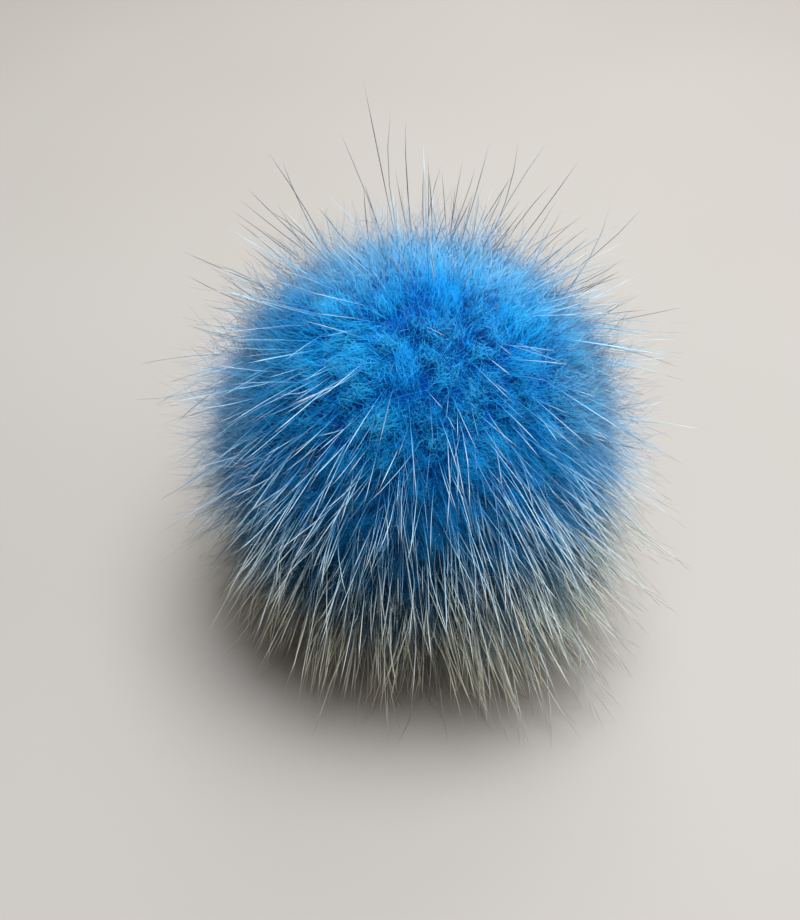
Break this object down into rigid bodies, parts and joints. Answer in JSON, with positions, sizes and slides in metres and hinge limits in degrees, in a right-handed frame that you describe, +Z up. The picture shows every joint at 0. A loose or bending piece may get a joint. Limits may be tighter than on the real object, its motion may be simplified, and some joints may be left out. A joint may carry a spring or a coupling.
{
  "type": "pom pom",
  "caption": "Round fur pom pom: a dense ball of dyed underfur with long fine pale guard hairs standing out of it, resting on a small flat spot.",
  "frame": {"origin": "middle of the small flat spot under the ball, on the surface that it rests on", "axes": "+Z up out of the surface, -Y towards the front, +X to the right"},
  "size_m": [0.0658, 0.065, 0.0535],
  "materials": {
    "underfur": "dense soft dyed underfur, matt with a soft sheen",
    "guard_hair": "fine glossy pale guard hair with a tint of the dye towards the root"
  },
  "bodies": {
    "root": {"fur_ball": "underfur"}
  },
  "joints": []
}
